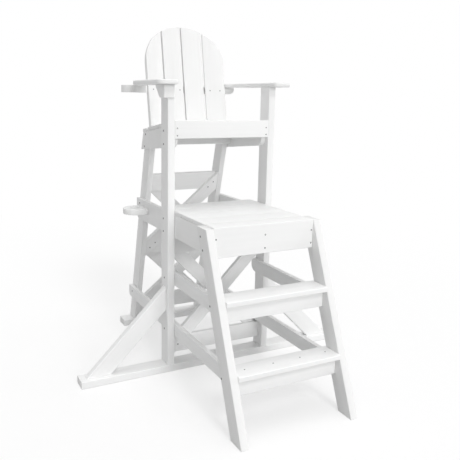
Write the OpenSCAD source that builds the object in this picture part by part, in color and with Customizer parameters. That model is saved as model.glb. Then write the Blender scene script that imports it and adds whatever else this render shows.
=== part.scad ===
// Lifeguard chair of white recycled-plastic lumber, millimetres.
// Origin on the floor, x = 0 between the posts, y = 0 on the front face of the front posts,
// +Y towards the back, +Z up. "Left" is the side at -X.

/* [Lumber] */
// Thickness of posts, legs and base beams
post_t = 38; // [34:1:42]
// Width of posts, legs, base beams and crossboards
post_w = 89; // [80:1:100]
// Thickness of the rear legs
leg_t = 32; // [28:1:38]
// Thickness of the boards that form rails, panels and braces
board_t = 25; // [20:1:28]
// Thickness of the deck boards and seat slats
slat_t = 19; // [15:1:24]
// Width of the deck boards and seat slats
slat_w = 121; // [110:1:123]
// Gap between neighbouring boards
slat_gap = 6; // [4:1:8]
// Width of the lower side rails and of the braces between the front posts
brace_w = 70; // [55:1:80]
// Width of the braces between the rear legs
rear_brace_w = 76; // [60:1:85]
// Width of the crossboards between the rear legs
rear_board_w = 105; // [95:1:121]

/* [Frame] */
// Clear width between the front posts
frame_w = 534; // [500:2:600]
// Height of the arm's underside above the floor
arm_z = 1485; // [1440:1:1520]
// Length of the front base beam
base_len = 1524; // [1300:4:1700]
// Length of the rear base beam
rear_base_len = 620; // [560:4:800]
// Half of the overall depth: ladder feet and rear base beam reach this far each way
half_depth = 794; // [770:1:820]
// Backward lean of the rear legs, in degrees
rear_lean = 14.8; // [13:0.1:16]
// Height of the top of the rear legs
rear_leg_top = 1216; // [1190:1:1220]

/* [Ladder] */
// Slope of the ladder legs, in degrees from upright
ladder_lean = 22.7; // [20:0.1:24]
// Top of the lower tread
tread_1_z = 276; // [265:1:290]
// Top of the upper tread
tread_2_z = 566; // [550:1:575]
// Depth of each tread
tread_w = 120; // [100:1:140]
// How far each tread stands out in front of the ladder legs
tread_nose = 14; // [0:1:20]
// Height of the riser board under each tread
riser_h = 81; // [60:1:90]

/* [Deck] */
// Top of the deck
deck_z = 865; // [850:1:880]
// Height of the deck side rails
deck_rail_h = 120; // [110:1:130]
// Height of the deck's front board
deck_front_h = 140; // [125:1:150]

/* [Seat and back] */
// Top of the seat at its front edge
seat_z = 1314; // [1290:1:1330]
// Downward slope of the seat towards the back, in degrees
seat_slope = 8.5; // [5:0.1:10]
// Backward lean of the back slats, in degrees
back_lean = 10.4; // [8:0.1:13]
// Angle between neighbouring back slats in plan, in degrees
slat_turn = 13; // [10:0.5:15]
// Height of the top of the back above the floor
back_top_z = 1818; // [1750:1:1860]
// Thickness of the back slats
back_t = 22; // [18:1:25]
// Gap between neighbouring back slats
back_gap = 8; // [3:1:12]

/* [Arms] */
// Thickness of the arms
arm_t = 22; // [19:1:26]
// Width of the arms
arm_w = 104; // [95:1:115]
// How far the arms reach in front of the posts
arm_reach = 54; // [40:1:70]
// Diameter of the hole for an umbrella pole
pole_d = 48; // [40:1:54]

/* [Hidden] */

side_out = frame_w / 2;              // inner face of posts, outer face of rails
side_in = side_out - board_t;        // inner face of rails, outer face of rear legs
post_out = side_out + post_t;
front_x = base_len / 2;
rear_in = side_in - leg_t;           // inner face of the rear legs
slat_pitch = slat_w + slat_gap;
lumber = "whitesmoke";

// ---------------------------------------------------------------- helpers

// Board lying in a y-z plane: outline pts, from x = x0 to x1
module side_plate(x0, x1, pts) {
    translate([x0, 0, 0]) rotate([90, 0, 90]) linear_extrude(x1 - x0) polygon(pts);
}

// Same, mirrored to the side given by s = -1 or 1
module sided_plate(s, x0, x1, pts) {
    if (s > 0) side_plate(x0, x1, pts);
    else side_plate(-x1, -x0, pts);
}

// Block given by its low and high corners
module block(low, high) {
    translate(low) cube(high - low);
}

// Points of an arc about c, radius r, from angle a0 to a1
function arc(c, r, a0, a1, n = 6) =
    [for (i = [0 : n]) c + r * [cos(a0 + (a1 - a0) * i / n), sin(a0 + (a1 - a0) * i / n)]];

// y of the ladder legs' front edge at height z, and their depth along y
function ladder_y(z) = -half_depth + z * tan(ladder_lean);
ladder_deep = post_w / cos(ladder_lean);
function tread_front(z) = ladder_y(z) - tread_nose;

// y of the rear legs' front edge at height z, and their depth along y
rear_foot_y = half_depth - post_w + post_t * tan(rear_lean);
function rear_y(z) = rear_foot_y - z * tan(rear_lean);
rear_deep = post_w / cos(rear_lean);

// Height of the seat surface at y
function seat_top(y) = seat_z - (y - board_t) * tan(seat_slope);
function seat_under(y) = seat_top(y) - slat_t / cos(seat_slope);

// ------------------------------------------------------------------- base

module front_base_beam() {
    color(lumber) block([-front_x, 0, 0], [front_x, post_w, post_t]);
}

module rear_base_beam() {
    y0 = rear_y(post_t);
    color(lumber)
        block([-rear_base_len / 2, y0, 0], [rear_base_len / 2, y0 + post_w, post_t]);
}

// --------------------------------------------------------- posts and legs

module front_post(s) {
    color(lumber)
        block([s > 0 ? side_out : -post_out, 0, post_t], [s > 0 ? post_out : -side_out, post_w, arm_z]);
}

module rear_leg(s) {
    pts = [[rear_y(post_t), post_t], [rear_y(post_t) + rear_deep, post_t],
        [rear_y(rear_leg_top) + rear_deep, rear_leg_top], [rear_y(rear_leg_top), rear_leg_top]];
    color(lumber) sided_plate(s, rear_in, side_in, pts);
}

// Side rail from y0 to y1 with its lower rear corner rounded
module side_rail(s, y0, y1, z0, z1, r) {
    pts = concat([[y0, z0]], arc([y1 - r, z0 + r], r, -90, 0), [[y1, z1], [y0, z1]]);
    color(lumber) sided_plate(s, side_in, side_out, pts);
}

// Side rail that carries a tread at its front end, let down for the tread
module tread_rail(s, tread_z, y1, z0, z1, r) {
    tread_back = tread_front(tread_z) + tread_w;
    y0 = ladder_y(tread_z) + riser_set + board_t;
    pts = concat([[y0, z0]], arc([y1 - r, z0 + r], r, -90, 0),
        [[y1, z1], [tread_back, z1], [tread_back, tread_z - board_t], [y0, tread_z - board_t]]);
    color(lumber) sided_plate(s, side_in, side_out, pts);
}
riser_set = 20;                      // riser's face behind the ladder legs' front at the tread
lower_rail_z = [194, 194 + brace_w];
lower_rail_end = 734;
ladder_rail_z = [474, 474 + brace_w];

// Diagonal prop from the base beam up to the post's outer face
module outrigger_brace(s) {
    reach_high = 768;                // x + z along the upper edge
    reach_low = reach_high - post_w * sqrt(2);
    y0 = (post_w - post_t) / 2;
    pts = [[post_out, reach_low - post_out], [reach_low - post_t, post_t],
        [reach_high - post_t, post_t], [post_out, reach_high - post_out]];
    color(lumber) translate([0, y0 + post_t, 0]) rotate([90, 0, 0])
        linear_extrude(post_t) polygon([for (p = pts) [s * p[0], p[1]]]);
}

// ----------------------------------------------------- crossboards, braces

front_layer = 12;                    // front face of the first layer of boards
front_low = [90, 179];
front_high = [632, 721];

module front_crossboard(z) {
    y0 = front_layer + board_t;
    color(lumber) block([-side_out, y0, z[0]], [side_out, y0 + board_t, z[1]]);
}

// Brace board in the x-z plane between x = -reach and reach, at 45 degrees about height zc
module brace(s, reach, zc, y0, width) {
    half = width / sqrt(2);
    color(lumber) translate([0, y0 + board_t, 0]) rotate([90, 0, 0]) linear_extrude(board_t)
        polygon([[-reach, zc - s * reach - half], [reach, zc + s * reach - half],
            [reach, zc + s * reach + half], [-reach, zc - s * reach + half]]);
}

front_centre = 405;
module front_rising_brace() {
    brace(1, side_out, front_centre, front_layer, brace_w);
}
module front_falling_brace() {
    brace(-1, side_out, front_centre, front_layer + 2 * board_t, brace_w);
}

// Frame of the rear legs' front face: z runs up along the legs
module on_rear_legs() {
    translate([0, rear_foot_y, 0]) rotate([rear_lean, 0, 0]) children();
}
rear_layer = 2;                      // front face of the first layer behind the legs' face
rear_pitch = 414;                    // spacing of the three crossboards along the legs
rear_low = 80;
rear_mid = rear_low + rear_pitch;
rear_high = rear_mid + rear_pitch;

module rear_crossboard(z) {
    y0 = rear_layer + board_t;
    color(lumber) on_rear_legs()
        block([-rear_in, y0, z], [rear_in, y0 + board_t, z + rear_board_w]);
}

// Brace in the space above the crossboard at z
module rear_brace(s, z) {
    y0 = rear_layer + (s > 0 ? 0 : 2 * board_t);
    on_rear_legs() brace(s, rear_in, z + (rear_board_w + rear_pitch) / 2, y0, rear_brace_w);
}

// ----------------------------------------------------------------- ladder

module ladder_leg(s) {
    top = deck_z - 4;
    pts = [[ladder_y(0), 0], [ladder_y(0) + ladder_deep, 0],
        [ladder_y(top) + ladder_deep, top], [ladder_y(top), top]];
    color(lumber) sided_plate(s, side_out, post_out, pts);
}

module tread(z) {
    y0 = tread_front(z);
    color(lumber) block([-side_out, y0, z - board_t], [side_out, y0 + tread_w, z]);
}

module riser(z) {
    y0 = ladder_y(z) + riser_set;
    color(lumber)
        block([-side_out, y0, z - board_t - riser_h], [side_out, y0 + board_t, z - board_t]);
}

// ------------------------------------------------------------------- deck

deck_rail_top = deck_z - slat_t;
deck_front_y = ladder_y(deck_z - 4);
deck_back_y = 166;
deck_count = 4;

module deck_rail(s) {
    end_y = 571;
    side_rail(s, deck_front_y + board_t, end_y, deck_rail_top - deck_rail_h, deck_rail_top, 33);
}

module deck_front_board() {
    color(lumber) block([-side_out, deck_front_y, deck_z - deck_front_h],
        [side_out, deck_front_y + board_t, deck_z]);
}

// Full boards counted from the rear, then a narrow one behind the front board, and
// the joist under the middle of them
module deck_boards() {
    color(lumber) {
        for (i = [0 : deck_count - 1])
            block([-side_out, deck_back_y - i * slat_pitch - slat_w, deck_rail_top],
                [side_out, deck_back_y - i * slat_pitch, deck_z]);
        block([-side_out, deck_front_y + board_t, deck_rail_top],
            [side_out, deck_back_y - deck_count * slat_pitch, deck_z]);
        block([-board_t / 2, deck_front_y + board_t, deck_rail_top - deck_rail_h],
            [board_t / 2, deck_back_y, deck_rail_top]);
    }
}

// ------------------------------------------------------------------- seat

seat_back_y = 452;                   // rear end of the panels' top edge
module seat_panel(s) {
    r = 40;
    low_front = 1176;
    low_back = 1134;
    pts = concat([[seat_back_y + 36, low_back], [seat_back_y, seat_under(seat_back_y)],
        [board_t, seat_under(board_t)]],
        arc([board_t + r, low_front + r], r, 180, 265));
    color(lumber) sided_plate(s, side_in, side_out, pts);
}

module seat_front_board() {
    color(lumber) block([-side_out, 0, seat_z - post_w], [side_out, board_t, seat_z]);
}

// Frame of the seat: z = 0 on the underside of the slats, y along the slope
module on_seat() {
    translate([0, board_t, seat_z]) rotate([-seat_slope, 0, 0]) translate([0, 0, -slat_t]) children();
}

// Board across the seat panels, in front of the tops of the rear legs
module seat_rear_board() {
    low = 1165;
    y1 = rear_y(rear_leg_top);
    y0 = y1 - board_t;
    pts = [[y0, low], [y1, low], [y1, seat_under(y1)], [y0, seat_under(y0)]];
    color(lumber) side_plate(-side_in, side_in, pts);
}

// Narrow first slat, two full ones, and a last one cut to the curve of the back
first_slat = 76;
module seat_slats() {
    lean = slat_t * tan(seat_slope);
    last = first_slat + 2 * slat_pitch + slat_gap;
    color(lumber) on_seat() {
        block([-side_out, lean, 0], [side_out, first_slat, slat_t]);
        for (i = [0 : 1])
            block([-side_out, first_slat + slat_gap + i * slat_pitch, 0],
                [side_out, first_slat + (i + 1) * slat_pitch, slat_t]);
        linear_extrude(slat_t) intersection() {
            translate([-side_out, last]) square([2 * side_out, slat_w]);
            translate([0, back_on_seat - back_r]) circle(r = back_r - slat_gap, $fn = 180);
        }
    }
}

// ------------------------------------------------------------------- back

back_z0 = 1224;                      // lower end of the back slats
back_ref = 1473;                     // height at which the plan below is set out
back_ref_y = 499;                    // front face of the back on the centre line there
back_on_seat = 437;                  // the same front face, measured along the seat
back_pitch = 124;
back_r = back_pitch / 2 / sin(slat_turn / 2);  // radius through the slats' edges
back_behind = back_r + back_t + 2;   // radius that clears the slats' rear faces

// Turn of slat i (0 to 3) and its middle in plan, relative to the centre of the back
function slat_angle(i) = (i - 1.5) * slat_turn;
function slat_mid(i) =
    let (a = slat_angle(i), r = back_r * cos(slat_turn / 2)) [r * sin(a), r * cos(a) - back_r];

// Frame of the back: z runs up along the slats, origin at the floor plane
module on_back() {
    translate([0, back_ref_y, back_ref]) rotate([-back_lean, 0, 0]) translate([0, 0, -back_ref])
        children();
}

// Front view of the whole back: straight sides, round shoulders and a flatter crown
back_half = 242;
crown_r = 254;
shoulder_r = 216;
crown_z = back_ref + (back_top_z - back_ref) / cos(back_lean) - crown_r;
shoulder_x = back_half - shoulder_r;
shoulder_z = crown_z + sqrt(pow(crown_r - shoulder_r, 2) - pow(shoulder_x, 2));
module back_front_view() {
    crown_end = shoulder_x * crown_r / (crown_r - shoulder_r);
    intersection() {
        translate([0, crown_z]) circle(r = crown_r, $fn = 180);
        translate([-crown_end, crown_z]) square([2 * crown_end, crown_r]);
    }
    for (s = [-1, 1])
        translate([s * shoulder_x, shoulder_z]) circle(r = shoulder_r, $fn = 180);
    translate([-back_half, back_z0]) square([2 * back_half, shoulder_z - back_z0]);
}

module back_slat(i) {
    m = slat_mid(i);
    w = back_pitch - back_gap;
    intersection() {
        translate([m[0], m[1], back_z0]) rotate([0, 0, -slat_angle(i)])
            block([-w / 2, 0, 0], [w / 2, back_t, crown_z + crown_r]);
        translate([0, back_half, 0]) rotate([90, 0, 0]) linear_extrude(2 * back_half)
            back_front_view();
    }
}

module back_slats() {
    color(lumber) on_back() for (i = [0 : 3]) back_slat(i);
}

// Plan of a curved rail behind the back, w wide, from x = -reach to reach_right
module curved_rail_plan(w, reach, reach_right) {
    intersection() {
        difference() {
            circle(r = back_behind + w, $fn = 180);
            circle(r = back_behind, $fn = 180);
        }
        translate([-reach, 0]) square([reach + reach_right, back_behind + w]);
    }
}

module lower_back_rail() {
    color(lumber) on_seat() linear_extrude(slat_t) translate([0, back_on_seat - back_r])
        curved_rail_plan(40, side_out, side_out);
}

// ----------------------------------------------- arms and umbrella holder

pole_xy = [-317, 451];               // axis of the umbrella pole
pole_end_r = 70;                     // round ends around the pole
arm_rail_right = 295;
arm_rail_w = 70;

// Curved rail that carries the arms; its left end is widened around the pole
module arm_rail() {
    corner_r = 25;
    color(lumber) difference() {
        intersection() {
            translate([0, 0, arm_z - post_t]) linear_extrude(post_t) {
                translate([0, back_ref_y - back_r])
                    curved_rail_plan(arm_rail_w, -pole_xy[0], arm_rail_right);
                translate(pole_xy) circle(r = pole_end_r, $fn = 96);
            }
            translate([0, half_depth, 0]) rotate([90, 0, 0]) linear_extrude(half_depth)
                polygon(concat([[-front_x, arm_z], [-front_x, arm_z - post_t]],
                    arc([arm_rail_right - corner_r, arm_z - post_t + corner_r], corner_r, -90, 0),
                    [[arm_rail_right, arm_z]]));
        }
        translate([pole_xy[0], pole_xy[1], arm_z - 2 * post_t])
            cylinder(h = 3 * post_t, d = pole_d, $fn = 64);
    }
}

// Plan of the right arm: rounded front corners, outer edge swept in to a narrow
// tail that passes inside the pole and behind the outermost back slat
module arm_plan() {
    x0 = side_out;
    x1 = side_out + arm_w;
    r_in = 20;
    r_out = 30;
    sweep_r = 150;
    sweep_y = 290;
    polygon(concat(
        arc([x0 + r_in, r_in - arm_reach], r_in, 180, 270),
        arc([x1 - r_out, r_out - arm_reach], r_out, -90, 0),
        arc([x1 - sweep_r, sweep_y], sweep_r, 0, 65, 12),
        [[258, 520], [220, 520], [220, 486], [242, 480], [242, 452], [x0, 400]]));
}

module arm(s) {
    color(lumber) translate([0, 0, arm_z]) linear_extrude(arm_t)
        if (s > 0) arm_plan();
        else mirror([1, 0]) arm_plan();
}

// Bracket on the left post's outer face, under the arm, with a lip over the post's front
module left_arm_bracket() {
    bracket_t = 24;
    lip_t = 12;
    lip_reach = 31;                  // how far the lip laps over the post's front
    low = arm_z - 64;
    r = 24;
    pts = concat([[-lip_t, arm_z], [-lip_t, low]], arc([64 - r, low + r], r, -90, -45),
        [[112, arm_z]]);
    color(lumber) {
        side_plate(-post_out - bracket_t, -post_out, pts);
        block([-post_out - bracket_t, -lip_t, low], [lip_reach - post_out, 0, arm_z]);
    }
}

// Lower plate of the umbrella holder, on the outer face of the left deck rail
module left_pole_plate() {
    low = 776;
    plate_t = 32;
    color(lumber) difference() {
        union() {
            block([pole_xy[0], pole_xy[1] - pole_end_r, low],
                [-side_out, pole_xy[1] + pole_end_r, low + plate_t]);
            translate([pole_xy[0], pole_xy[1], low])
                cylinder(h = plate_t, r = pole_end_r, $fn = 96);
        }
        translate([pole_xy[0], pole_xy[1], low - 1])
            cylinder(h = plate_t + 2, d = pole_d, $fn = 64);
    }
}

front_base_beam();
rear_base_beam();
front_post(-1);  // left_front_post
front_post(1);  // right_front_post
rear_leg(-1);  // left_rear_leg
rear_leg(1);  // right_rear_leg
tread_rail(-1, tread_1_z, lower_rail_end, lower_rail_z[0], lower_rail_z[1], 30);  // left_lower_side_rail
tread_rail(1, tread_1_z, lower_rail_end, lower_rail_z[0], lower_rail_z[1], 30);  // right_lower_side_rail
outrigger_brace(-1);  // left_outrigger_brace
outrigger_brace(1);  // right_outrigger_brace
front_crossboard(front_low);  // front_lower_crossboard
front_crossboard(front_high);  // front_upper_crossboard
front_rising_brace();
front_falling_brace();
rear_crossboard(rear_low);  // rear_lower_crossboard
rear_crossboard(rear_mid);  // rear_middle_crossboard
rear_crossboard(rear_high);  // rear_upper_crossboard
rear_brace(1, rear_low);  // rear_lower_rising_brace
rear_brace(-1, rear_low);  // rear_lower_falling_brace
rear_brace(1, rear_mid);  // rear_upper_rising_brace
rear_brace(-1, rear_mid);  // rear_upper_falling_brace
ladder_leg(-1);  // left_ladder_leg
ladder_leg(1);  // right_ladder_leg
tread_rail(-1, tread_2_z, post_w, ladder_rail_z[0], ladder_rail_z[1], 38);  // left_ladder_rail
tread_rail(1, tread_2_z, post_w, ladder_rail_z[0], ladder_rail_z[1], 38);  // right_ladder_rail
tread(tread_1_z);  // lower_tread
riser(tread_1_z);  // lower_riser
tread(tread_2_z);  // upper_tread
riser(tread_2_z);  // upper_riser
deck_rail(-1);  // left_deck_rail
deck_rail(1);  // right_deck_rail
deck_front_board();
deck_boards();
seat_panel(-1);  // left_seat_panel
seat_panel(1);  // right_seat_panel
seat_front_board();
seat_rear_board();
seat_slats();
lower_back_rail();
back_slats();
arm_rail();
arm(-1);  // left_arm
arm(1);  // right_arm
left_arm_bracket();
left_pole_plate();
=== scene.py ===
"""Looks of a lifeguard chair of white plastic lumber: boards, screws, finishes, light and camera.

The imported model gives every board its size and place. Each board is taken over from it, gets its
long edges eased and its ends sawn, and a finish that follows its own grain. The screws are set out
on the boards that they hold. Lengths are metres; +X is to the right, +Y to the back and +Z up.
"""

import logging
import math
import random
from dataclasses import dataclass
from enum import Enum

import bmesh
import bpy
from mathutils import Matrix, Vector


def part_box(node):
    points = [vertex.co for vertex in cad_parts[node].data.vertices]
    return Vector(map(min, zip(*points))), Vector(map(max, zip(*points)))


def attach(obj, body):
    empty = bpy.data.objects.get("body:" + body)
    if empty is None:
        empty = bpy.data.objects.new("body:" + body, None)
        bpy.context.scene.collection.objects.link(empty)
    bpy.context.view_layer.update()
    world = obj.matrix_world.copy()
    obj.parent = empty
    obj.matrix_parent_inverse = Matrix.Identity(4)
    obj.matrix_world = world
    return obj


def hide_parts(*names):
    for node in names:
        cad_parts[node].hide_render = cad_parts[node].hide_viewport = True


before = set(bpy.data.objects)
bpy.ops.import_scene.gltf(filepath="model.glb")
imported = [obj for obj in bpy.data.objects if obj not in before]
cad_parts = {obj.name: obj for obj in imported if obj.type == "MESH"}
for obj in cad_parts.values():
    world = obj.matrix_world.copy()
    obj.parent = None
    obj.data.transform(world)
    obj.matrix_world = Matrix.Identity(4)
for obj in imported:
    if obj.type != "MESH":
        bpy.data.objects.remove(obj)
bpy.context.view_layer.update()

ROOT = "root"
GRAIN = "grain"
SAWN = "sawn"
FACING = "facing"
RADIUS = "radius"
WHITE = (1.0, 1.0, 1.0, 1.0)
EVEN = (1.0, 1.0, 1.0)
FRONT = Vector((0, -1, 0))
UP = Vector((0, 0, 1))
LOG = logging.getLogger("lifeguard_chair")

Value = bpy.types.NodeSocket | float | tuple
Faces = list[bmesh.types.BMFace]


class Side(Enum):
    """The two sides of the chair, as the sign of x."""

    LEFT = -1
    RIGHT = 1

    @property
    def word(self) -> str:
        """The side's name as the boards' names begin with it."""
        return self.name.lower()


class Edge(Enum):
    """How a board's edges are eased: radius of its long edges, and of its sawn ends."""

    EXTRUDED = (0.0034, 0.0014)
    ROUTED = (0.0055, 0.0055)
    TREAD = (0.0045, 0.0020)
    CUT_PLATE = (0.0035, 0.0035)

    @property
    def along(self) -> float:
        """Radius of the long edges."""
        return self.value[0]

    @property
    def ends(self) -> float:
        """Radius of the edges around the sawn ends."""
        return self.value[1]


class Fixing(Enum):
    """Kinds of screw, by the radius of the head."""

    LAG = 0.0050
    BOARD = 0.0040
    SLAT = 0.0035


@dataclass(frozen=True)
class Screw:
    """A place for a screw head: a point on a board, the way out of the board there, and its kind."""

    place: Vector
    facing: Vector
    kind: Fixing


def box_of(node: str) -> tuple[Vector, Vector]:
    """The lowest and the highest corner of a CAD node's box."""
    low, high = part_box(node)
    return Vector(low), Vector(high)


def middle_of(node: str) -> Vector:
    """The middle of a CAD node's box."""
    low, high = box_of(node)
    return (low + high) / 2


class NodeTree:
    """Adds nodes and links to a shader or geometry tree, with short calls."""

    def __init__(self, tree: bpy.types.NodeTree) -> None:
        """Starts on the tree that the nodes go into."""
        self.tree = tree

    def add(self, kind: str, inputs: dict | None = None, **settings: object) -> bpy.types.Node:
        """Adds one node.

        Args:
            kind: the node's type name.
            inputs: values or sockets for its inputs, by name or number.
            settings: the node's own properties.

        Returns:
            The new node.
        """
        node = self.tree.nodes.new(kind)
        for name, value in settings.items():
            setattr(node, name, value)
        for key, value in (inputs or {}).items():
            if isinstance(value, bpy.types.NodeSocket):
                self.tree.links.new(value, node.inputs[key])
            else:
                node.inputs[key].default_value = value
        return node

    def math(self, operation: str, first: Value, second: Value) -> bpy.types.NodeSocket:
        """Adds a maths node, such as MULTIPLY, on two values or sockets, and gives its result."""
        node = self.add("ShaderNodeMath", {0: first, 1: second}, operation=operation)
        return node.outputs[0]

    def seen(self) -> bpy.types.NodeSocket:
        """Adds a test for what is seen itself, from the camera, in gloss or through glass.

        Returns:
            1 for such a ray, 0 for one that only carries light.
        """
        rays = self.add("ShaderNodeLightPath").outputs
        seen = self.math("MAXIMUM", rays["Is Camera Ray"], rays["Is Glossy Ray"])
        return self.math("MAXIMUM", seen, rays["Is Transmission Ray"])


def new_material(name: str) -> tuple[bpy.types.Material, NodeTree]:
    """Makes an empty node material.

    Args:
        name: the material's name.

    Returns:
        The material and its tree, with no nodes in it.
    """
    material = bpy.data.materials.new(name)
    material.use_nodes = True
    material.node_tree.nodes.clear()
    return material, NodeTree(material.node_tree)


@dataclass(frozen=True)
class LumberFinish:
    """Satin white plastic lumber: faint streaks along the grain, sawn ends, fine pits.

    Scales are turns per metre. The streaks and the brushing have one along the grain, one across it
    and one through the board. A range is the part of a noise's values that is spread out to 0 and 1.
    """

    name: str = "white lumber"
    pale: tuple = (0.880, 0.882, 0.880, 1.0)
    dull: tuple = (0.860, 0.862, 0.859, 1.0)
    tone_range: tuple = (0.35, 0.65)
    streaks: tuple = (2.4, 60.0, 60.0)
    streak_share: float = 0.6
    cloud_scale: float = 6.0
    cloud_range: tuple = (0.3, 0.7)
    noise_roughness: float = 0.55
    sawn_tone: tuple = (0.846, 0.847, 0.842, 1.0)
    sawn_share: float = 0.8
    sawn_rougher: float = 0.2
    saw_scale: float = 190.0
    saw_wander: float = 2.5
    saw_share: float = 0.6
    brushing: tuple = (9.0, 420.0, 420.0)
    brushing_share: float = 0.7
    pit_scale: float = 520.0
    relief: float = 0.00045
    relief_strength: float = 0.5
    smooth: float = 0.40
    rough: float = 0.54
    shine: float = 0.4

    def material(self) -> bpy.types.Material:
        """Builds the finish.

        Returns:
            The material.
        """
        material, nodes = new_material(self.name)
        grain = nodes.add("ShaderNodeAttribute", attribute_name=GRAIN).outputs["Vector"]
        sawn = nodes.add("ShaderNodeAttribute", attribute_name=SAWN).outputs["Fac"]
        streak = self._noise(nodes, grain, self.streaks, 1.0, 3.0)
        cloud = self._noise(nodes, grain, EVEN, self.cloud_scale, 2.0)
        tone = self._blend(nodes, streak, cloud, self.streak_share)
        low, high = self.tone_range
        spread = nodes.add("ShaderNodeMapRange", {0: tone, 1: low, 2: high}).outputs[0]
        colour = self._mix(nodes, spread, self.pale, self.dull)
        sawn_part = nodes.math("MULTIPLY", sawn, self.sawn_share)
        colour = self._mix(nodes, sawn_part, colour, self.sawn_tone)
        low, high = self.cloud_range
        roughness = nodes.add("ShaderNodeMapRange", {
            0: cloud, 1: low, 2: high, 3: self.smooth, 4: self.rough,
        }).outputs[0]
        sawn_part = nodes.math("MULTIPLY", sawn, self.sawn_rougher)
        shader = nodes.add("ShaderNodeBsdfPrincipled", {
            "Base Color": colour,
            "Roughness": nodes.math("ADD", roughness, sawn_part),
            "Specular IOR Level": self.shine,
            "Normal": self._relief(nodes, grain, sawn),
        })
        nodes.add("ShaderNodeOutputMaterial", {"Surface": shader.outputs[0]})
        return material

    def _noise(
        self, nodes: NodeTree, at: Value, stretch: tuple, scale: float, detail: float
    ) -> bpy.types.NodeSocket:
        """Adds noise on coordinates that are stretched first.

        Args:
            nodes: the tree.
            at: coordinates.
            stretch: scale along the grain, across it and through the board.
            scale: the noise's own scale.
            detail: the noise's detail.

        Returns:
            The noise's value.
        """
        mapping = nodes.add("ShaderNodeMapping", {"Vector": at, "Scale": stretch})
        noise = nodes.add("ShaderNodeTexNoise", {
            "Vector": mapping.outputs[0],
            "Scale": scale,
            "Detail": detail,
            "Roughness": self.noise_roughness,
        })
        return noise.outputs[0]

    @staticmethod
    def _blend(nodes: NodeTree, first: Value, second: Value, share: float) -> bpy.types.NodeSocket:
        """Adds two values in shares that come to 1.

        Args:
            nodes: the tree.
            first: value or socket.
            second: value or socket.
            share: how much of the first there is.

        Returns:
            The sum.
        """
        first = nodes.math("MULTIPLY", first, share)
        second = nodes.math("MULTIPLY", second, 1 - share)
        return nodes.math("ADD", first, second)

    @staticmethod
    def _mix(nodes: NodeTree, share: Value, first: Value, second: Value) -> bpy.types.NodeSocket:
        """Mixes two colours.

        Args:
            nodes: the tree.
            share: how much of the second there is.
            first: colour or socket.
            second: colour or socket.

        Returns:
            The mixed colour.
        """
        mix = nodes.add("ShaderNodeMix", {"Factor": share}, data_type="RGBA")
        for name, value in (("A", first), ("B", second)):
            socket = next(s for s in mix.inputs if s.name == name and s.type == "RGBA")
            if isinstance(value, bpy.types.NodeSocket):
                nodes.tree.links.new(value, socket)
            else:
                socket.default_value = value
        return next(s for s in mix.outputs if s.type == "RGBA")

    def _relief(self, nodes: NodeTree, grain: Value, sawn: Value) -> bpy.types.NodeSocket:
        """Adds the surface's fine relief: brushing, pits, and saw marks on the ends.

        Args:
            nodes: the tree.
            grain: coordinates along the board's grain.
            sawn: 1 on a sawn end.

        Returns:
            The bumped normal.
        """
        brushed = self._noise(nodes, grain, self.brushing, 1.0, 2.0)
        pits = self._noise(nodes, grain, EVEN, self.pit_scale, 1.0)
        face = self._blend(nodes, brushed, pits, self.brushing_share)
        marks = nodes.add("ShaderNodeTexWave", {
            "Vector": grain, "Scale": self.saw_scale, "Distortion": self.saw_wander, "Detail": 2.0,
        }, bands_direction="Z").outputs["Fac"]
        cut = nodes.math("MULTIPLY", nodes.math("MULTIPLY", marks, sawn), self.saw_share)
        bump = nodes.add("ShaderNodeBump", {
            "Strength": self.relief_strength,
            "Distance": self.relief,
            "Height": nodes.math("ADD", face, cut),
        })
        return bump.outputs[0]


# A copy of the white lumber, about 7% darker, as painted shade rather than a real difference in tone. The
# back slats and the ladder legs lean up into the lamps and would otherwise render brighter than the upright
# fronts.
PAINTED_SHADE_WHITE = LumberFinish("soft white lumber", (0.820, 0.821, 0.818, 1.0), (0.802, 0.803, 0.799, 1.0))


@dataclass(frozen=True)
class ScrewFinish:
    """Dark coated steel, worn a little paler in patches."""

    dark: tuple = (0.150, 0.152, 0.156, 1.0)
    worn: tuple = (0.300, 0.298, 0.292, 1.0)
    patch_scale: float = 420.0
    patch_range: tuple = (0.42, 0.70)
    relief: float = 0.0002
    relief_strength: float = 0.4
    smooth: float = 0.38
    rough: float = 0.62
    metallic: float = 0.7

    def material(self) -> bpy.types.Material:
        """Builds the finish.

        Returns:
            The material.
        """
        material, nodes = new_material("dark screw steel")
        place = nodes.add("ShaderNodeTexCoord").outputs["Object"]
        noise = nodes.add("ShaderNodeTexNoise", {
            "Vector": place, "Scale": self.patch_scale, "Detail": 3.0,
        }).outputs[0]
        patches = nodes.add("ShaderNodeValToRGB", {"Fac": noise})
        stops = zip(patches.color_ramp.elements, self.patch_range, (self.dark, self.worn))
        for stop, position, colour in stops:
            stop.position = position
            stop.color = colour
        roughness = nodes.add("ShaderNodeMapRange", {0: noise, 3: self.smooth, 4: self.rough})
        bump = nodes.add("ShaderNodeBump", {
            "Strength": self.relief_strength, "Distance": self.relief, "Height": noise,
        })
        shader = nodes.add("ShaderNodeBsdfPrincipled", {
            "Base Color": patches.outputs[0],
            "Metallic": self.metallic,
            "Roughness": roughness.outputs[0],
            "Normal": bump.outputs[0],
        })
        nodes.add("ShaderNodeOutputMaterial", {"Surface": shader.outputs[0]})
        return material


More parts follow.
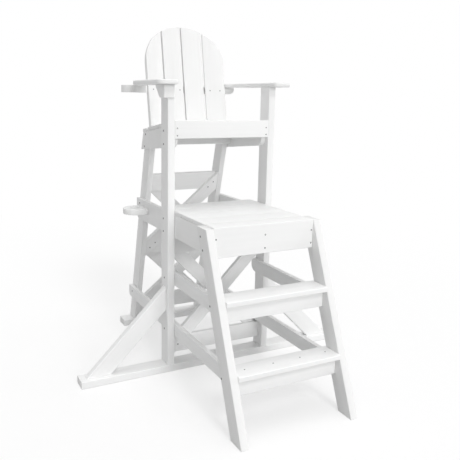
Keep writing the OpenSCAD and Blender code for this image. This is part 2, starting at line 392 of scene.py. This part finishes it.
@dataclass(frozen=True)
class FloorFinish:
    """A pale floor that keeps a soft shadow and turns to plain white further out.

    It throws light back with one tone and is seen with another. The white begins at the near radius.
    """

    tone: tuple = (0.58, 0.58, 0.58, 1.0)
    seen_tone: tuple = (0.95, 0.95, 0.95, 1.0)
    lit: float = 0.55
    near: float = 1.2
    far: float = 4.5

    def material(self) -> bpy.types.Material:
        """Builds the finish.

        Returns:
            The material.
        """
        material, nodes = new_material("pale floor")
        place = nodes.add("ShaderNodeTexCoord").outputs["Object"]
        distance = nodes.add("ShaderNodeVectorMath", {0: place}, operation="LENGTH").outputs["Value"]
        fade = nodes.add("ShaderNodeMapRange", {
            0: distance, 1: self.near, 2: self.far, 3: self.lit, 4: 1.0,
        }, interpolation_type="SMOOTHSTEP").outputs[0]
        matt = nodes.add("ShaderNodeBsdfDiffuse", {"Color": self.tone})
        white = nodes.add("ShaderNodeBsdfDiffuse", {"Color": self.seen_tone})
        glow = nodes.add("ShaderNodeEmission", {"Color": WHITE, "Strength": 1.0})
        shown = nodes.add("ShaderNodeMixShader", {0: fade, 1: white.outputs[0], 2: glow.outputs[0]})
        surface = nodes.add("ShaderNodeMixShader", {0: nodes.seen(), 1: matt.outputs[0], 2: shown.outputs[0]})
        nodes.add("ShaderNodeOutputMaterial", {"Surface": surface.outputs[0]})
        return material


@dataclass(frozen=True)
class Axes:
    """The way one board lies: along its grain, across it, and through its thickness."""

    centre: Vector
    along: Vector
    across: Vector
    through: Vector

    def place(self, point: Vector, shift: Vector) -> Vector:
        """A point's distances along, across and through the board, moved by shift."""
        ray = point - self.centre
        return Vector((ray.dot(self.along), ray.dot(self.across), ray.dot(self.through))) + shift


class Lumber:
    """Turns a CAD node into finished boards.

    A face counts as a sawn end, and an edge as a long one, from how nearly it points along the grain.
    """

    merge_distance = 1e-5
    flat_angle = math.radians(0.5)
    smooth_angle = math.radians(25)
    segments = 3
    end_face = 0.6
    long_edge = 0.94
    grain_shift = 20
    # Boards that get the darker copy of the lumber as painted shade, because they face a little upward and
    # catch more of the lamps.
    painted_shade_boards = ("back_slats", "left_ladder_leg", "right_ladder_leg")

    def __init__(self, material: bpy.types.Material, painted_shade_material: bpy.types.Material) -> None:
        """Keeps the lumber's material, and a copy of it in a slightly deeper white that paints shade on the
        boards that lean up into the lamps.
        """
        self.material = material
        self.painted_shade_material = painted_shade_material

    def finish(self, node: str, edge: Edge) -> bpy.types.Object:
        """Builds the finished boards of one node, and puts them in its place.

        Args:
            node: the node's name.
            edge: how its edges are eased.

        Returns:
            The new piece.
        """
        shape = bmesh.new()
        shape.from_mesh(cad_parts[node].data)
        bmesh.ops.remove_doubles(shape, verts=shape.verts, dist=self.merge_distance)
        bmesh.ops.dissolve_limit(
            shape, angle_limit=self.flat_angle, verts=shape.verts, edges=shape.edges
        )
        weights = shape.edges.layers.float.new("bevel_weight_edge")
        sawn = shape.faces.layers.float.new(SAWN)
        boards = self._boards(shape)
        axes = [self._axes(board) for board in boards]
        for board, lie in zip(boards, axes):
            self._mark_ends(board, lie, sawn)
            self._weigh_edges(board, lie, edge, weights)
        mesh = bpy.data.meshes.new(f"{node}_lumber")
        shape.to_mesh(mesh)
        shape.free()
        piece = bpy.data.objects.new(f"{node}_lumber", mesh)
        bpy.context.scene.collection.objects.link(piece)
        self._ease_edges(piece, max(edge.along, edge.ends))
        self._mark_grain(piece.data, axes, random.Random(node))
        # The boards that lean up into the lamps get the darker copy: painted shade.
        piece.data.materials.append(self.painted_shade_material if node in self.painted_shade_boards else self.material)
        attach(piece, ROOT)
        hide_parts(node)
        return piece

    @staticmethod
    def _boards(shape: bmesh.types.BMesh) -> list[Faces]:
        """Splits a shape into the boards that don't touch.

        Args:
            shape: the merged shape.

        Returns:
            The faces of each board.
        """
        left = set(shape.faces)
        boards = []
        for start in shape.faces:
            if start not in left:
                continue
            left.discard(start)
            board = [start]
            for face in board:
                for edge in face.edges:
                    for other in edge.link_faces:
                        if other in left:
                            left.discard(other)
                            board.append(other)
            boards.append(board)
        return boards

    @staticmethod
    def _axes(board: Faces) -> Axes:
        """Finds how a board lies from its longest edge and its largest face.

        Args:
            board: the board's faces.

        Returns:
            Its axes.
        """
        corners = {vert for face in board for vert in face.verts}
        centre = sum((vert.co for vert in corners), Vector()) / len(corners)
        through = max(board, key=lambda face: face.calc_area()).normal.copy()
        longest = max((edge for face in board for edge in face.edges), key=lambda edge: edge.calc_length())
        along = longest.verts[1].co - longest.verts[0].co
        along = (along - through * along.dot(through)).normalized()
        return Axes(centre, along, through.cross(along), through)

    def _mark_ends(self, board: Faces, lie: Axes, layer: bmesh.types.BMLayerItem) -> None:
        """Puts 1 in the layer on a board's sawn faces, at the ends of its grain, and else 0."""
        for face in board:
            face[layer] = float(abs(face.normal.dot(lie.along)) > self.end_face)

    def _weigh_edges(self, board: Faces, lie: Axes, edge: Edge, layer: bmesh.types.BMLayerItem) -> None:
        """Gives each sharp edge of a board its share of the widest easing.

        Args:
            board: the board's faces.
            lie: the board's axes.
            edge: how the edges are eased.
            layer: takes the shares.
        """
        widest = max(edge.along, edge.ends)
        for line in {line for face in board for line in face.edges}:
            if line.calc_face_angle(0.0) < self.smooth_angle:
                continue
            run = (line.verts[1].co - line.verts[0].co).normalized()
            is_long = abs(run.dot(lie.along)) > self.long_edge
            line[layer] = (edge.along if is_long else edge.ends) / widest

    def _ease_edges(self, piece: bpy.types.Object, width: float) -> None:
        """Rounds the weighed edges and keeps the result as the piece's mesh.

        Args:
            piece: the piece.
            width: radius of a fully weighed edge.
        """
        piece.data.shade_smooth()
        bevel = piece.modifiers.new("eased edges", "BEVEL")
        bevel.limit_method = "WEIGHT"
        bevel.offset_type = "OFFSET"
        bevel.width = width
        bevel.segments = self.segments
        bevel.miter_outer = "MITER_ARC"
        bevel.harden_normals = True
        bake_modifiers(piece)

    def _mark_grain(self, mesh: bpy.types.Mesh, axes: list[Axes], chance: random.Random) -> None:
        """Stores where each point lies along its board's grain.

        Args:
            mesh: the finished mesh.
            axes: the axes of each board.
            chance: moves each board's pattern, so that no two are alike.
        """
        far = self.grain_shift
        shifts = [Vector([chance.uniform(-far, far) for _ in range(3)]) for _ in axes]
        owner = board_of_points(mesh, [lie.centre for lie in axes])
        layer = mesh.attributes.new(GRAIN, "FLOAT_VECTOR", "POINT")
        for index, vert in enumerate(mesh.vertices):
            board = owner[index]
            layer.data[index].vector = axes[board].place(vert.co, shifts[board])


def board_of_points(mesh: bpy.types.Mesh, centres: list[Vector]) -> list[int]:
    """Finds which board each point of a mesh belongs to.

    Args:
        mesh: a mesh of one or more boards.
        centres: the middle of each board.

    Returns:
        For each point, the number of its board.
    """
    parent = list(range(len(mesh.vertices)))

    def top(index: int) -> int:
        """Finds the point that stands for a point's board.

        Args:
            index: the point.

        Returns:
            The point that stands for all of its board.
        """
        while parent[index] != index:
            parent[index] = parent[parent[index]]
            index = parent[index]
        return index

    for edge in mesh.edges:
        first, second = edge.vertices
        parent[top(first)] = top(second)
    groups: dict[int, list[int]] = {}
    for index in range(len(parent)):
        groups.setdefault(top(index), []).append(index)
    owner = [0] * len(parent)
    for points in groups.values():
        middle = sum((mesh.vertices[i].co for i in points), Vector()) / len(points)
        nearest = min(range(len(centres)), key=lambda b: (centres[b] - middle).length)
        for index in points:
            owner[index] = nearest
    return owner


def bake_modifiers(piece: bpy.types.Object) -> None:
    """Replaces a piece's mesh with what its modifiers make of it, and removes them.

    Args:
        piece: the piece.
    """
    graph = bpy.context.evaluated_depsgraph_get()
    result = bpy.data.meshes.new_from_object(piece.evaluated_get(graph), depsgraph=graph)
    old = piece.data
    piece.modifiers.clear()
    piece.data = result
    bpy.data.meshes.remove(old)
    result.name = piece.name


@dataclass
class SubAssembly:
    """Boards that go together, and the screws that hold them."""

    name = "sub-assembly"

    def boards(self) -> dict[str, Edge]:
        """Each board's node, and how its edges are eased."""
        return {}

    def screws(self) -> list[Screw]:
        """Where this sub-assembly's screws sit."""
        return []

    def build(self, lumber: Lumber) -> list[bpy.types.Object]:
        """Builds the finished boards out of lumber, and gives the pieces."""
        return [lumber.finish(node, edge) for node, edge in self.boards().items()]


def both(pattern: str) -> list[str]:
    """The left and right names that a pattern with one {} stands for."""
    return [pattern.format(side.word) for side in Side]


def brace_screws(node: str, lie: Matrix, slope: int, facing: int) -> list[Screw]:
    """Two screws at each end of a board that runs diagonally across a frame.

    Args:
        node: the brace's node.
        lie: takes the frame's own axes, x across it and z up along it, into place.
        slope: 1 where the brace rises to the right, -1 where it falls.
        facing: -1 for screws on its front face, 1 for its rear face.

    Returns:
        The screws.
    """
    from_end = (0.021, 0.0655)
    off_centre = 0.0145
    thickness = 0.025
    along = Vector((1, 0, slope)).normalized()
    across = Vector((-slope, 0, 1)).normalized()
    middle = lie.inverted() @ middle_of(node)
    half = box_of(node)[1].x * math.sqrt(2)
    to_face = Vector((0, facing * thickness / 2, 0))
    out = lie.to_3x3() @ Vector((0, facing, 0))
    screws = []
    for end in (-1, 1):
        for back in from_end:
            spot = middle + to_face + end * (along * (half - back) + across * off_centre)
            screws.append(Screw(lie @ spot, out, Fixing.BOARD))
    return screws


@dataclass
class BaseAndPosts(SubAssembly):
    """The base beams, the front posts with their crossboards and braces, and the outrigger braces."""

    name = "base and posts"
    panel_drops: tuple = (0.052, 0.118)
    panel_inset: float = 0.057
    rail_inset: float = 0.060
    rail_spread: float = 0.033
    thin_rail_inset: float = 0.047

    def boards(self) -> dict[str, Edge]:
        """Names the boards.

        Returns:
            Each board's node, and how its edges are eased.
        """
        names = ["front_base_beam", "rear_base_beam", *both("{}_front_post"), *both("{}_outrigger_brace")]
        names += ["front_lower_crossboard", "front_upper_crossboard"]
        names += ["front_rising_brace", "front_falling_brace"]
        return dict.fromkeys(names, Edge.EXTRUDED)

    def screws(self) -> list[Screw]:
        """Sets out the screws through the posts into the rails, and through the braces' ends.

        Returns:
            The screws.
        """
        found = []
        for side in Side:
            found += self._post_screws(side)
        upright = Matrix.Identity(4)
        found += brace_screws("front_rising_brace", upright, 1, -1)
        found += brace_screws("front_falling_brace", upright, -1, 1)
        return found

    def _post_screws(self, side: Side) -> list[Screw]:
        """Screws on one post's outer face.

        Args:
            side: which post.

        Returns:
            The screws.
        """
        face = box_of("right_front_post")[1].x
        seat_top = box_of("seat_front_board")[1].z
        deck_rail = middle_of("right_deck_rail").z
        spots = [(self.panel_inset, seat_top - drop) for drop in self.panel_drops]
        spots += [(self.rail_inset, deck_rail + up * self.rail_spread) for up in (-1, 1)]
        for rail in ("right_ladder_rail", "right_lower_side_rail"):
            spots.append((self.thin_rail_inset, middle_of(rail).z))
        out = Vector((side.value, 0, 0))
        return [Screw(Vector((side.value * face, y, z)), out, Fixing.LAG) for y, z in spots]


@dataclass
class RearFrame(SubAssembly):
    """The leaning rear legs, their three crossboards and the braces in the two spaces between."""

    name = "rear frame"
    lean: float = math.radians(14.8)
    leg_width: float = 0.089
    ahead: float = 0.023
    rail_heights: tuple = (
        ("deck_rail", (0.757, 0.820)), ("lower_side_rail", (0.236,)), ("seat_panel", (1.154, 1.222)),
    )

    def boards(self) -> dict[str, Edge]:
        """Names the boards.

        Returns:
            Each board's node, and how its edges are eased.
        """
        names = both("{}_rear_leg")
        names += [f"rear_{place}_crossboard" for place in ("lower", "middle", "upper")]
        for space in ("lower", "upper"):
            names += [f"rear_{space}_rising_brace", f"rear_{space}_falling_brace"]
        return dict.fromkeys(names, Edge.EXTRUDED)

    def lie(self) -> Matrix:
        """Finds the rear legs' own axes: y is 0 on their front faces, z runs up along them.

        Returns:
            What takes those axes into place.
        """
        low, high = box_of("right_rear_leg")
        foot = high.y - self.leg_width / math.cos(self.lean) + low.z * math.tan(self.lean)
        return Matrix.Translation((0, foot, 0)) @ Matrix.Rotation(self.lean, 4, "X")

    def screws(self) -> list[Screw]:
        """Sets out the screws through the braces' ends, and through the side rails into the legs.

        Returns:
            The screws.
        """
        lie = self.lie()
        found = []
        for space in ("lower", "upper"):
            found += brace_screws(f"rear_{space}_rising_brace", lie, 1, -1)
            found += brace_screws(f"rear_{space}_falling_brace", lie, -1, 1)
        middle = self.leg_width / 2 / math.cos(self.lean)
        for side in Side:
            for rail, heights in self.rail_heights:
                face = box_of(f"right_{rail}")[1].x
                for z in heights:
                    y = lie.translation.y - z * math.tan(self.lean) + middle - self.ahead
                    out = Vector((side.value, 0, 0))
                    found.append(Screw(Vector((side.value * face, y, z)), out, Fixing.LAG))
        return found


@dataclass
class Ladder(SubAssembly):
    """The sloping ladder legs, the rails that run back from them, and the treads on their risers."""

    name = "ladder"
    slope: float = math.radians(22.7)
    leg_width: float = 0.089
    leg_screws: tuple = ((0.241, 0.040), (0.528, 0.040), (0.762, 0.024), (0.820, 0.024))
    tread_screws: tuple = (-0.207, -0.061, 0.082, 0.224)

    def boards(self) -> dict[str, Edge]:
        """Names the boards.

        Returns:
            Each board's node, and how its edges are eased.
        """
        names = both("{}_ladder_leg") + both("{}_lower_side_rail") + both("{}_ladder_rail")
        made = dict.fromkeys(names + ["lower_riser", "upper_riser"], Edge.EXTRUDED)
        made.update(dict.fromkeys(["lower_tread", "upper_tread"], Edge.TREAD))
        return made

    def screws(self) -> list[Screw]:
        """Sets out the screws through the legs' outer faces, and down through the lower tread.

        Returns:
            The screws.
        """
        foot, top = box_of("right_ladder_leg")
        middle = self.leg_width / 2 / math.cos(self.slope)
        found = []
        for side in Side:
            for z, behind in self.leg_screws:
                y = foot.y + z * math.tan(self.slope) + middle + behind
                out = Vector((side.value, 0, 0))
                found.append(Screw(Vector((side.value * top.x, y, z)), out, Fixing.LAG))
        tread = middle_of("lower_tread")
        tread.z = box_of("lower_tread")[1].z
        return found + [Screw(Vector((x, tread.y, tread.z)), UP, Fixing.SLAT) for x in self.tread_screws]


@dataclass
class Deck(SubAssembly):
    """The foot deck: side rails, front board and the boards across on their joist."""

    name = "deck"
    columns: tuple = (-0.254, 0.0, 0.258)
    drops: tuple = (0.052, 0.115)

    def boards(self) -> dict[str, Edge]:
        """Each board's node, and how its edges are eased."""
        boards = dict.fromkeys(both("{}_deck_rail") + ["deck_front_board"], Edge.EXTRUDED)
        return boards | {"deck_boards": Edge.TREAD}

    def screws(self) -> list[Screw]:
        """Sets out the screws through the front board.

        Returns:
            The screws.
        """
        low, high = box_of("deck_front_board")
        return [
            Screw(Vector((x, low.y, high.z - drop)), FRONT, Fixing.BOARD)
            for x in self.columns for drop in self.drops
        ]


@dataclass
class Seat(SubAssembly):
    """The seat: side panels, front and rear boards and the slats across."""

    name = "seat"
    reach: float = 0.254
    drops: tuple = (0.038, 0.074)

    def boards(self) -> dict[str, Edge]:
        """Each board's node, and how its edges are eased."""
        names = both("{}_seat_panel") + ["seat_front_board", "seat_rear_board", "seat_slats"]
        return dict.fromkeys(names, Edge.EXTRUDED)

    def screws(self) -> list[Screw]:
        """Sets out the screws through the front board into the side panels.

        Returns:
            The screws.
        """
        low, high = box_of("seat_front_board")
        return [
            Screw(Vector((side.value * self.reach, low.y, high.z - drop)), FRONT, Fixing.SLAT)
            for side in Side for drop in self.drops
        ]


@dataclass
class Back(SubAssembly):
    """The curved back: four slats on a lower rail."""

    name = "back"
    lean: float = math.radians(10.4)
    turn: float = math.radians(13.0)
    pitch: float = 0.124
    slat_width: float = 0.116
    front: tuple = (0.499, 1.473)
    shares: tuple = ((0.30, 0.80), (0.26, 0.80), (), (0.25, 0.75))

    def boards(self) -> dict[str, Edge]:
        """Each board's node, and how its edges are eased."""
        return dict.fromkeys(("lower_back_rail", "back_slats"), Edge.CUT_PLATE)

    def lie(self) -> Matrix:
        """The back's own axes: y is 0 on its front face on the centre line, z runs up along it."""
        y, z = self.front
        return Matrix.Translation((0, y, z)) @ Matrix.Rotation(-self.lean, 4, "X")

    def screws(self) -> list[Screw]:
        """Sets out the screws through the slats into the arm rail.

        Returns:
            The screws.
        """
        height = middle_of("arm_rail").z
        lie = self.lie()
        reach = self.pitch / 2 / math.sin(self.turn / 2)
        radius = reach * math.cos(self.turn / 2)
        found = []
        for number, shares in enumerate(self.shares):
            angle = (number - (len(self.shares) - 1) / 2) * self.turn
            across = Vector((math.cos(angle), -math.sin(angle), 0))
            out = Vector((-math.sin(angle), -math.cos(angle), 0))
            middle = Vector((radius * math.sin(angle), radius * math.cos(angle) - reach, 0))
            for share in shares:
                spot = middle + across * (share - 0.5) * self.slat_width
                place = lie @ spot
                up = (height - place.z) / math.cos(self.lean)
                found.append(Screw(lie @ (spot + UP * up), lie.to_3x3() @ out, Fixing.SLAT))
        return found


@dataclass
class Arms(SubAssembly):
    """The arms, the rail that carries them, the left bracket and the pole's lower plate."""

    name = "arms"
    over_post: tuple = ((0.286, 0.022), (0.286, 0.068))
    over_rail: tuple = ((0.268, 0.440), (0.236, 0.500))

    def boards(self) -> dict[str, Edge]:
        """Names the boards.

        Returns:
            Each board's node, and how its edges are eased.
        """
        made = dict.fromkeys(both("{}_arm"), Edge.ROUTED)
        made.update(dict.fromkeys(["arm_rail", "left_pole_plate", "left_arm_bracket"], Edge.CUT_PLATE))
        return made

    def screws(self) -> list[Screw]:
        """Sets out the screws down through the arms.

        Returns:
            The screws.
        """
        top = box_of("right_arm")[1].z
        return [
            Screw(Vector((side.value * x, y, top)), UP, Fixing.BOARD)
            for side in Side for x, y in self.over_post + self.over_rail
        ]


@dataclass
class ScrewHeads:
    """Every screw head of the chair, set out as one mesh by a Geometry Nodes tree.

    The sizes are shares of a head's radius. The rim has its radius and its share of the height.
    """

    rim: tuple = ((1.0, 0.45), (0.80, 0.9))
    proud: float = 0.24
    sunk: float = 0.20
    socket_half: float = 0.34
    socket_deep: float = 0.28
    corners: int = 12
    seed: int = 7

    def build(self, screws: list[Screw], material: bpy.types.Material) -> bpy.types.Object:
        """Builds all the heads.

        Args:
            screws: where they sit.
            material: their finish.

        Returns:
            The piece.
        """
        head = self._head()
        mesh = bpy.data.meshes.new("screws")
        mesh.from_pydata([screw.place for screw in screws], [], [])
        facing = mesh.attributes.new(FACING, "FLOAT_VECTOR", "POINT")
        for index, screw in enumerate(screws):
            facing.data[index].vector = screw.facing
        radius = mesh.attributes.new(RADIUS, "FLOAT", "POINT")
        for index, screw in enumerate(screws):
            radius.data[index].value = screw.kind.value
        piece = bpy.data.objects.new("screws", mesh)
        bpy.context.scene.collection.objects.link(piece)
        tree = self._tree()
        modifier = piece.modifiers.new("set out", "NODES")
        modifier.node_group = tree
        wanted = {"Head": head, "Size": 1.0, "Seed": self.seed, "Finish": material}
        for socket in tree.interface.items_tree:
            if socket.name in wanted and socket.in_out == "INPUT":
                modifier[socket.identifier] = wanted[socket.name]
        bake_modifiers(piece)
        bpy.data.objects.remove(head)
        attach(piece, ROOT)
        return piece

    def _rings(self) -> list[list[Vector]]:
        """Sets out the head's points, from under the board's face, over the rim, into the socket.

        Returns:
            The rings of points, one after the other.
        """
        rings = []
        rises = [(radius, self.proud * share) for radius, share in self.rim]
        for radius, height in [(1.0, -self.sunk), *rises]:
            rings.append([self._round_point(i, radius, height) for i in range(self.corners)])
        for height in (self.proud, self.proud - self.socket_deep):
            rings.append([self._square_point(i, height) for i in range(self.corners)])
        return rings

    def _round_point(self, index: int, radius: float, height: float) -> Vector:
        """A point of a round ring."""
        angle = math.tau * index / self.corners
        return Vector((radius * math.cos(angle), radius * math.sin(angle), height))

    def _square_point(self, index: int, height: float) -> Vector:
        """Finds a point of the square socket, at the same angle as the round rings' points.

        Args:
            index: the point's number.
            height: its height.

        Returns:
            The point.
        """
        angle = math.tau * index / self.corners
        reach = self.socket_half / max(abs(math.cos(angle)), abs(math.sin(angle)))
        return Vector((reach * math.cos(angle), reach * math.sin(angle), height))

    def _head(self) -> bpy.types.Object:
        """Builds one head of radius 1, closed, standing on z = 0 with its socket upwards.

        Returns:
            The head.
        """
        shape = bmesh.new()
        rings = [[shape.verts.new(point) for point in ring] for ring in self._rings()]
        for low, high in zip(rings, rings[1:]):
            for i in range(self.corners):
                j = (i + 1) % self.corners
                shape.faces.new((low[i], low[j], high[j], high[i]))
        shape.faces.new(list(reversed(rings[0])))
        shape.faces.new(rings[-1])
        bmesh.ops.recalc_face_normals(shape, faces=shape.faces)
        mesh = bpy.data.meshes.new("screw head")
        shape.to_mesh(mesh)
        shape.free()
        return bpy.data.objects.new("screw head", mesh)

    @staticmethod
    def _tree() -> bpy.types.NodeTree:
        """Builds the tree: a head on each point, turned the way it faces, with a turn of its own.

        Returns:
            The tree.
        """
        tree = bpy.data.node_groups.new("screw heads", "GeometryNodeTree")
        ends = tree.interface
        ends.new_socket("Geometry", in_out="INPUT", socket_type="NodeSocketGeometry")
        ends.new_socket("Head", in_out="INPUT", socket_type="NodeSocketObject")
        ends.new_socket("Size", in_out="INPUT", socket_type="NodeSocketFloat")
        ends.new_socket("Seed", in_out="INPUT", socket_type="NodeSocketInt")
        ends.new_socket("Finish", in_out="INPUT", socket_type="NodeSocketMaterial")
        ends.new_socket("Geometry", in_out="OUTPUT", socket_type="NodeSocketGeometry")
        nodes = NodeTree(tree)
        given = nodes.add("NodeGroupInput").outputs
        head = nodes.add("GeometryNodeObjectInfo", {"Object": given["Head"]}, transform_space="ORIGINAL")
        facing = nodes.add("GeometryNodeInputNamedAttribute", {"Name": FACING}, data_type="FLOAT_VECTOR")
        radius = nodes.add("GeometryNodeInputNamedAttribute", {"Name": RADIUS}, data_type="FLOAT")
        size = nodes.math("MULTIPLY", radius.outputs[0], given["Size"])
        upright = nodes.add("FunctionNodeAlignRotationToVector", {"Vector": facing.outputs[0]}, axis="Z")
        turn = nodes.add("FunctionNodeRandomValue", {"Seed": given["Seed"]}, data_type="FLOAT")
        turn.inputs["Max"].default_value = math.tau
        chance = next(s for s in turn.outputs if s.enabled)
        spin = nodes.add("FunctionNodeAxisAngleToRotation", {"Axis": (0, 0, 1), "Angle": chance})
        turned = nodes.add("FunctionNodeRotateRotation", {
            "Rotation": upright.outputs[0], "Rotate By": spin.outputs[0],
        }, rotation_space="LOCAL")
        placed = nodes.add("GeometryNodeInstanceOnPoints", {
            "Points": given["Geometry"], "Instance": head.outputs["Geometry"],
            "Rotation": turned.outputs[0], "Scale": size,
        })
        real = nodes.add("GeometryNodeRealizeInstances", {"Geometry": placed.outputs[0]})
        dressed = nodes.add("GeometryNodeSetMaterial", {
            "Geometry": real.outputs[0], "Material": given["Finish"],
        })
        nodes.add("NodeGroupOutput", {"Geometry": dressed.outputs[0]})
        return tree


@dataclass(frozen=True)
class Viewpoint:
    """Where the chair is seen from."""

    place: tuple = (-1.4007, -2.6671, 1.4245)
    yaw: float = 0.472
    pitch: float = 0.202
    roll: float = 0.017
    lens: float = 45.90
    sensor: float = 36.0
    shift: tuple = (0.0323, -0.0259)
    nearest: float = 0.05
    farthest: float = 200.0

    def build(self) -> bpy.types.Object:
        """Makes the scene's camera.

        Returns:
            The camera.
        """
        forward = Vector((
            math.sin(self.yaw) * math.cos(self.pitch),
            math.cos(self.yaw) * math.cos(self.pitch),
            -math.sin(self.pitch),
        ))
        level = Vector((math.cos(self.yaw), -math.sin(self.yaw), 0))
        upward = level.cross(forward)
        right = level * math.cos(self.roll) + upward * math.sin(self.roll)
        up = upward * math.cos(self.roll) - level * math.sin(self.roll)
        data = bpy.data.cameras.new("camera")
        data.lens = self.lens
        data.sensor_width = self.sensor
        data.shift_x, data.shift_y = self.shift
        data.clip_start, data.clip_end = self.nearest, self.farthest
        camera = bpy.data.objects.new("camera", data)
        turn = Matrix((right, up, -forward)).transposed()
        camera.matrix_world = Matrix.Translation(self.place) @ turn.to_4x4()
        bpy.context.scene.collection.objects.link(camera)
        bpy.context.scene.camera = camera
        return camera


@dataclass(frozen=True)
class Lamp:
    """One broad, distant lamp: where it comes from, its strength, and how wide it looks."""

    name: str
    comes_from: tuple
    power: float
    spread: float

    def hang(self) -> None:
        """Adds the lamp to the scene."""
        data = bpy.data.lights.new(self.name, "SUN")
        data.energy = self.power
        data.angle = self.spread
        lamp = bpy.data.objects.new(self.name, data)
        lamp.rotation_mode = "QUATERNION"
        lamp.rotation_quaternion = Vector(self.comes_from).to_track_quat("Z", "Y")
        bpy.context.scene.collection.objects.link(lamp)


@dataclass(frozen=True)
class Studio:
    """Plain soft light, a pale floor and a white background."""

    ambient: float = 0.52
    lamps: tuple = (
        Lamp("front lamp", (0.0, -1.0, 0.25), 0.86, math.radians(20)),
        Lamp("high front lamp", (0.0, -1.0, 1.0), 0.62, math.radians(14)),
        Lamp("side lamp", (1.0, -0.2, 0.2), 0.51, math.radians(30)),
        Lamp("top lamp", (0.0, 0.0, 1.0), 0.88, math.radians(40)),
    )
    floor_radius: float = 30.0
    floor_corners: int = 64

    def build(self) -> None:
        """Makes the world, the lamps and the floor."""
        bpy.context.scene.view_settings.view_transform = "Standard"
        self._world()
        for lamp in self.lamps:
            lamp.hang()
        self._floor()

    def _world(self) -> None:
        """White behind the chair, and an even soft light on it."""
        world = bpy.data.worlds.new("studio")
        world.use_nodes = True
        world.node_tree.nodes.clear()
        nodes = NodeTree(world.node_tree)
        light = nodes.add("ShaderNodeBackground", {"Color": WHITE, "Strength": self.ambient})
        white = nodes.add("ShaderNodeBackground", {"Color": WHITE, "Strength": 1.0})
        mix = nodes.add("ShaderNodeMixShader", {0: nodes.seen(), 1: light.outputs[0], 2: white.outputs[0]})
        nodes.add("ShaderNodeOutputWorld", {"Surface": mix.outputs[0]})
        bpy.context.scene.world = world

    def _floor(self) -> None:
        """A wide round floor at z = 0."""
        shape = bmesh.new()
        bmesh.ops.create_circle(shape, cap_ends=True, radius=self.floor_radius, segments=self.floor_corners)
        mesh = bpy.data.meshes.new("floor")
        shape.to_mesh(mesh)
        shape.free()
        mesh.materials.append(FloorFinish().material())
        floor = bpy.data.objects.new("floor", mesh)
        bpy.context.scene.collection.objects.link(floor)


def main() -> None:
    """Builds the chair, its floor, light and camera, and reports each piece."""
    logging.basicConfig(level=logging.INFO, format="%(message)s")
    lumber = Lumber(LumberFinish().material(), PAINTED_SHADE_WHITE.material())
    screws = []
    for part in (BaseAndPosts(), RearFrame(), Ladder(), Deck(), Seat(), Back(), Arms()):
        for piece in part.build(lumber):
            LOG.info("%s: %s, %d faces", part.name, piece.name, len(piece.data.polygons))
        screws += part.screws()
    heads = ScrewHeads().build(screws, ScrewFinish().material())
    LOG.info("screws: %d heads, %d faces", len(screws), len(heads.data.polygons))
    Viewpoint().build()
    Studio().build()


if __name__ == "__main__":
    main()
